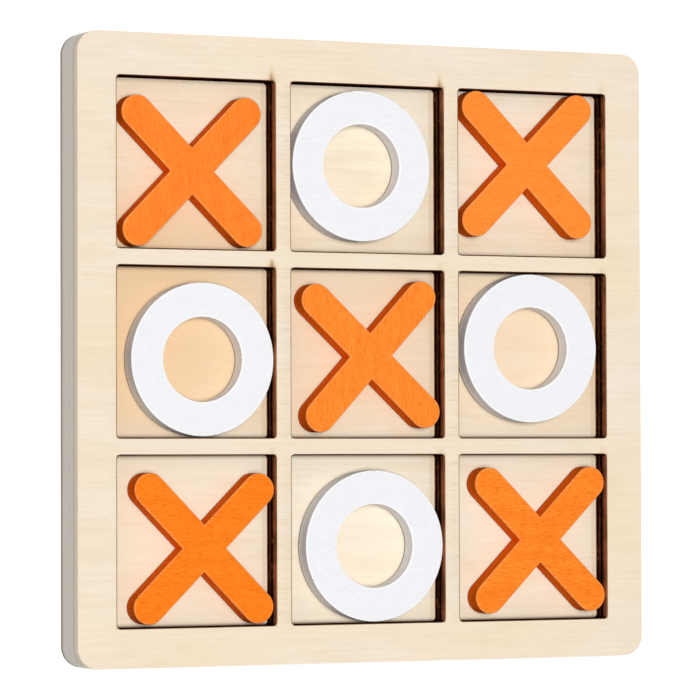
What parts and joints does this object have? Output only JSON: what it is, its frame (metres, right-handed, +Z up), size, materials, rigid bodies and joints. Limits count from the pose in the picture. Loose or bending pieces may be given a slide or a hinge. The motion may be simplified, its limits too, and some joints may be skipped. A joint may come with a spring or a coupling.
{
  "type": "tic tac toe set",
  "caption": "Flat square wooden game board with a raised grid of square windows, in which loose orange crosses and white rings lie and lift straight out.",
  "frame": {"origin": "middle of the board's flat underside", "axes": "+Z up, away from the table; +X to the right and +Y to the top row, seen from above"},
  "size_m": [0.15, 0.15, 0.0116],
  "materials": {
    "base_plywood": "sanded, unfinished light plywood",
    "grid_plywood": "sanded light plywood, laser-cut edges charred brown",
    "orange_paint": "thin satin orange paint on wood, grain showing through",
    "white_paint": "thin satin white paint on wood, grain faintly showing"
  },
  "bodies": {
    "board": {"base_board": "base_plywood", "lower_grid": "grid_plywood", "upper_grid": "grid_plywood"},
    "cross_top_left": {"cross_top_left": "orange_paint"},
    "cross_top_right": {"cross_top_right": "orange_paint"},
    "cross_centre": {"cross_centre": "orange_paint"},
    "cross_bottom_left": {"cross_bottom_left": "orange_paint"},
    "cross_bottom_right": {"cross_bottom_right": "orange_paint"},
    "ring_top": {"ring_top": "white_paint"},
    "ring_left": {"ring_left": "white_paint"},
    "ring_right": {"ring_right": "white_paint"},
    "ring_bottom": {"ring_bottom": "white_paint"}
  },
  "joints": [
    {"name": "cross_top_left_lift", "type": "slide", "parent": "board", "child": "cross_top_left", "axis": [0, 0, 1], "range_m": [0, 0.03]},
    {"name": "cross_top_right_lift", "type": "slide", "parent": "board", "child": "cross_top_right", "axis": [0, 0, 1], "range_m": [0, 0.03]},
    {"name": "cross_centre_lift", "type": "slide", "parent": "board", "child": "cross_centre", "axis": [0, 0, 1], "range_m": [0, 0.03]},
    {"name": "cross_bottom_left_lift", "type": "slide", "parent": "board", "child": "cross_bottom_left", "axis": [0, 0, 1], "range_m": [0, 0.03]},
    {"name": "cross_bottom_right_lift", "type": "slide", "parent": "board", "child": "cross_bottom_right", "axis": [0, 0, 1], "range_m": [0, 0.03]},
    {"name": "ring_top_lift", "type": "slide", "parent": "board", "child": "ring_top", "axis": [0, 0, 1], "range_m": [0, 0.03]},
    {"name": "ring_left_lift", "type": "slide", "parent": "board", "child": "ring_left", "axis": [0, 0, 1], "range_m": [0, 0.03]},
    {"name": "ring_right_lift", "type": "slide", "parent": "board", "child": "ring_right", "axis": [0, 0, 1], "range_m": [0, 0.03]},
    {"name": "ring_bottom_lift", "type": "slide", "parent": "board", "child": "ring_bottom", "axis": [0, 0, 1], "range_m": [0, 0.03]}
  ]
}
